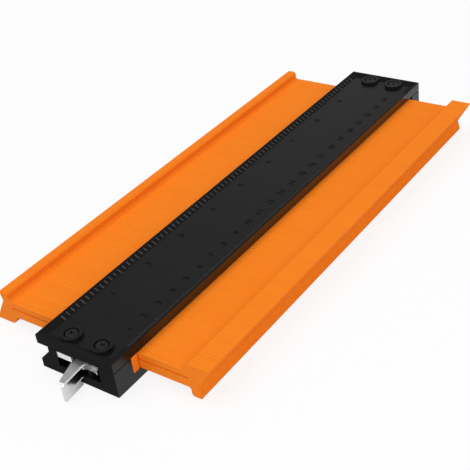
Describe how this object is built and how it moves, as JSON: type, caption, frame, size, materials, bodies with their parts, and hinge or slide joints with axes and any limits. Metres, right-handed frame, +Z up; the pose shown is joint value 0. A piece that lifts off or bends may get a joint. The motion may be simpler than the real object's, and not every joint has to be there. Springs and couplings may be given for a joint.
{
  "type": "contour gauge",
  "caption": "Contour gauge: a row of thin fishtail-ended plastic leaves slides across a ruler-topped body, and a metal cam lever at one end presses the row together to hold a profile.",
  "frame": {"origin": "centre of the body's rest face, under the middle of the ruler", "axes": "+X along the leaves, +Y along the ruler away from the lever, +Z up out of the ruler face"},
  "size_m": [0.1258, 0.2902, 0.0184],
  "materials": {
    "case_plastic": "fine moulded grain, satin black",
    "leaf_plastic": "satin orange",
    "lever_chrome": "bright plated, brushed on the top",
    "plain_steel": "plain steel",
    "screw_black": "black oxide"
  },
  "bodies": {
    "case": {"base_shell": "case_plastic", "top_cover": "case_plastic", "cover_screws": "screw_black", "lever_pin": "plain_steel", "lever_keeper": "plain_steel"},
    "lever": {"lock_lever": "lever_chrome"},
    "clamp": {"pressure_block": "leaf_plastic", "pressure_plate": "plain_steel"},
    "leaf_01": {"leaf_group_01": "leaf_plastic"},
    "leaf_02": {"leaf_group_02": "leaf_plastic"},
    "leaf_03": {"leaf_group_03": "leaf_plastic"},
    "leaf_04": {"leaf_group_04": "leaf_plastic"},
    "leaf_05": {"leaf_group_05": "leaf_plastic"},
    "leaf_06": {"leaf_group_06": "leaf_plastic"},
    "leaf_07": {"leaf_group_07": "leaf_plastic"},
    "leaf_08": {"leaf_group_08": "leaf_plastic"},
    "leaf_09": {"leaf_group_09": "leaf_plastic"},
    "leaf_10": {"leaf_group_10": "leaf_plastic"},
    "leaf_11": {"leaf_group_11": "leaf_plastic"},
    "leaf_12": {"leaf_group_12": "leaf_plastic"},
    "leaf_13": {"leaf_group_13": "leaf_plastic"},
    "leaf_14": {"leaf_group_14": "leaf_plastic"},
    "leaf_15": {"leaf_group_15": "leaf_plastic"},
    "leaf_16": {"leaf_group_16": "leaf_plastic"},
    "leaf_17": {"leaf_group_17": "leaf_plastic"},
    "leaf_18": {"leaf_group_18": "leaf_plastic"},
    "leaf_19": {"leaf_group_19": "leaf_plastic"},
    "leaf_20": {"leaf_group_20": "leaf_plastic"},
    "leaf_21": {"leaf_group_21": "leaf_plastic"},
    "leaf_22": {"leaf_group_22": "leaf_plastic"},
    "leaf_23": {"leaf_group_23": "leaf_plastic"},
    "leaf_24": {"leaf_group_24": "leaf_plastic"},
    "leaf_25": {"leaf_group_25": "leaf_plastic"},
    "leaf_26": {"leaf_group_26": "leaf_plastic"},
    "leaf_27": {"leaf_group_27": "leaf_plastic"},
    "leaf_28": {"leaf_group_28": "leaf_plastic"},
    "leaf_29": {"leaf_group_29": "leaf_plastic"},
    "leaf_30": {"leaf_group_30": "leaf_plastic"},
    "leaf_31": {"leaf_group_31": "leaf_plastic"},
    "leaf_32": {"leaf_group_32": "leaf_plastic"},
    "leaf_33": {"leaf_group_33": "leaf_plastic"},
    "leaf_34": {"leaf_group_34": "leaf_plastic"},
    "leaf_35": {"leaf_group_35": "leaf_plastic"},
    "leaf_36": {"leaf_group_36": "leaf_plastic"},
    "leaf_37": {"leaf_group_37": "leaf_plastic"},
    "leaf_38": {"leaf_group_38": "leaf_plastic"},
    "leaf_39": {"leaf_group_39": "leaf_plastic"},
    "leaf_40": {"leaf_group_40": "leaf_plastic"}
  },
  "joints": [
    {"name": "lever_swing", "type": "hinge", "parent": "case", "child": "lever", "pos_m": [-0.0005, -0.1323, 0.0089], "axis": [0, 0, -1], "range_deg": [0, 40]},
    {"name": "clamp_slide", "type": "slide", "parent": "case", "child": "clamp", "axis": [0, 1, 0], "range_m": [0, 0.0005]},
    {"name": "leaf_01_slide", "type": "slide", "parent": "case", "child": "leaf_01", "axis": [1, 0, 0], "range_m": [-0.023, 0.0302]},
    {"name": "leaf_02_slide", "type": "slide", "parent": "case", "child": "leaf_02", "axis": [1, 0, 0], "range_m": [-0.023, 0.0302]},
    {"name": "leaf_03_slide", "type": "slide", "parent": "case", "child": "leaf_03", "axis": [1, 0, 0], "range_m": [-0.023, 0.0302]},
    {"name": "leaf_04_slide", "type": "slide", "parent": "case", "child": "leaf_04", "axis": [1, 0, 0], "range_m": [-0.023, 0.0302]},
    {"name": "leaf_05_slide", "type": "slide", "parent": "case", "child": "leaf_05", "axis": [1, 0, 0], "range_m": [-0.023, 0.0302]},
    {"name": "leaf_06_slide", "type": "slide", "parent": "case", "child": "leaf_06", "axis": [1, 0, 0], "range_m": [-0.023, 0.0302]},
    {"name": "leaf_07_slide", "type": "slide", "parent": "case", "child": "leaf_07", "axis": [1, 0, 0], "range_m": [-0.023, 0.0302]},
    {"name": "leaf_08_slide", "type": "slide", "parent": "case", "child": "leaf_08", "axis": [1, 0, 0], "range_m": [-0.023, 0.0302]},
    {"name": "leaf_09_slide", "type": "slide", "parent": "case", "child": "leaf_09", "axis": [1, 0, 0], "range_m": [-0.023, 0.0302]},
    {"name": "leaf_10_slide", "type": "slide", "parent": "case", "child": "leaf_10", "axis": [1, 0, 0], "range_m": [-0.023, 0.0302]},
    {"name": "leaf_11_slide", "type": "slide", "parent": "case", "child": "leaf_11", "axis": [1, 0, 0], "range_m": [-0.023, 0.0302]},
    {"name": "leaf_12_slide", "type": "slide", "parent": "case", "child": "leaf_12", "axis": [1, 0, 0], "range_m": [-0.023, 0.0302]},
    {"name": "leaf_13_slide", "type": "slide", "parent": "case", "child": "leaf_13", "axis": [1, 0, 0], "range_m": [-0.023, 0.0302]},
    {"name": "leaf_14_slide", "type": "slide", "parent": "case", "child": "leaf_14", "axis": [1, 0, 0], "range_m": [-0.023, 0.0302]},
    {"name": "leaf_15_slide", "type": "slide", "parent": "case", "child": "leaf_15", "axis": [1, 0, 0], "range_m": [-0.023, 0.0302]},
    {"name": "leaf_16_slide", "type": "slide", "parent": "case", "child": "leaf_16", "axis": [1, 0, 0], "range_m": [-0.023, 0.0302]},
    {"name": "leaf_17_slide", "type": "slide", "parent": "case", "child": "leaf_17", "axis": [1, 0, 0], "range_m": [-0.023, 0.0302]},
    {"name": "leaf_18_slide", "type": "slide", "parent": "case", "child": "leaf_18", "axis": [1, 0, 0], "range_m": [-0.023, 0.0302]},
    {"name": "leaf_19_slide", "type": "slide", "parent": "case", "child": "leaf_19", "axis": [1, 0, 0], "range_m": [-0.023, 0.0302]},
    {"name": "leaf_20_slide", "type": "slide", "parent": "case", "child": "leaf_20", "axis": [1, 0, 0], "range_m": [-0.023, 0.0302]},
    {"name": "leaf_21_slide", "type": "slide", "parent": "case", "child": "leaf_21", "axis": [1, 0, 0], "range_m": [-0.023, 0.0302]},
    {"name": "leaf_22_slide", "type": "slide", "parent": "case", "child": "leaf_22", "axis": [1, 0, 0], "range_m": [-0.023, 0.0302]},
    {"name": "leaf_23_slide", "type": "slide", "parent": "case", "child": "leaf_23", "axis": [1, 0, 0], "range_m": [-0.023, 0.0302]},
    {"name": "leaf_24_slide", "type": "slide", "parent": "case", "child": "leaf_24", "axis": [1, 0, 0], "range_m": [-0.023, 0.0302]},
    {"name": "leaf_25_slide", "type": "slide", "parent": "case", "child": "leaf_25", "axis": [1, 0, 0], "range_m": [-0.023, 0.0302]},
    {"name": "leaf_26_slide", "type": "slide", "parent": "case", "child": "leaf_26", "axis": [1, 0, 0], "range_m": [-0.023, 0.0302]},
    {"name": "leaf_27_slide", "type": "slide", "parent": "case", "child": "leaf_27", "axis": [1, 0, 0], "range_m": [-0.023, 0.0302]},
    {"name": "leaf_28_slide", "type": "slide", "parent": "case", "child": "leaf_28", "axis": [1, 0, 0], "range_m": [-0.023, 0.0302]},
    {"name": "leaf_29_slide", "type": "slide", "parent": "case", "child": "leaf_29", "axis": [1, 0, 0], "range_m": [-0.023, 0.0302]},
    {"name": "leaf_30_slide", "type": "slide", "parent": "case", "child": "leaf_30", "axis": [1, 0, 0], "range_m": [-0.023, 0.0302]},
    {"name": "leaf_31_slide", "type": "slide", "parent": "case", "child": "leaf_31", "axis": [1, 0, 0], "range_m": [-0.023, 0.0302]},
    {"name": "leaf_32_slide", "type": "slide", "parent": "case", "child": "leaf_32", "axis": [1, 0, 0], "range_m": [-0.023, 0.0302]},
    {"name": "leaf_33_slide", "type": "slide", "parent": "case", "child": "leaf_33", "axis": [1, 0, 0], "range_m": [-0.023, 0.0302]},
    {"name": "leaf_34_slide", "type": "slide", "parent": "case", "child": "leaf_34", "axis": [1, 0, 0], "range_m": [-0.023, 0.0302]},
    {"name": "leaf_35_slide", "type": "slide", "parent": "case", "child": "leaf_35", "axis": [1, 0, 0], "range_m": [-0.023, 0.0302]},
    {"name": "leaf_36_slide", "type": "slide", "parent": "case", "child": "leaf_36", "axis": [1, 0, 0], "range_m": [-0.023, 0.0302]},
    {"name": "leaf_37_slide", "type": "slide", "parent": "case", "child": "leaf_37", "axis": [1, 0, 0], "range_m": [-0.023, 0.0302]},
    {"name": "leaf_38_slide", "type": "slide", "parent": "case", "child": "leaf_38", "axis": [1, 0, 0], "range_m": [-0.023, 0.0302]},
    {"name": "leaf_39_slide", "type": "slide", "parent": "case", "child": "leaf_39", "axis": [1, 0, 0], "range_m": [-0.023, 0.0302]},
    {"name": "leaf_40_slide", "type": "slide", "parent": "case", "child": "leaf_40", "axis": [1, 0, 0], "range_m": [-0.023, 0.0302]}
  ],
  "couplings": [
    {"joint": "clamp_slide", "follows": "lever_swing", "m_per_rad": 0.0007162}
  ]
}
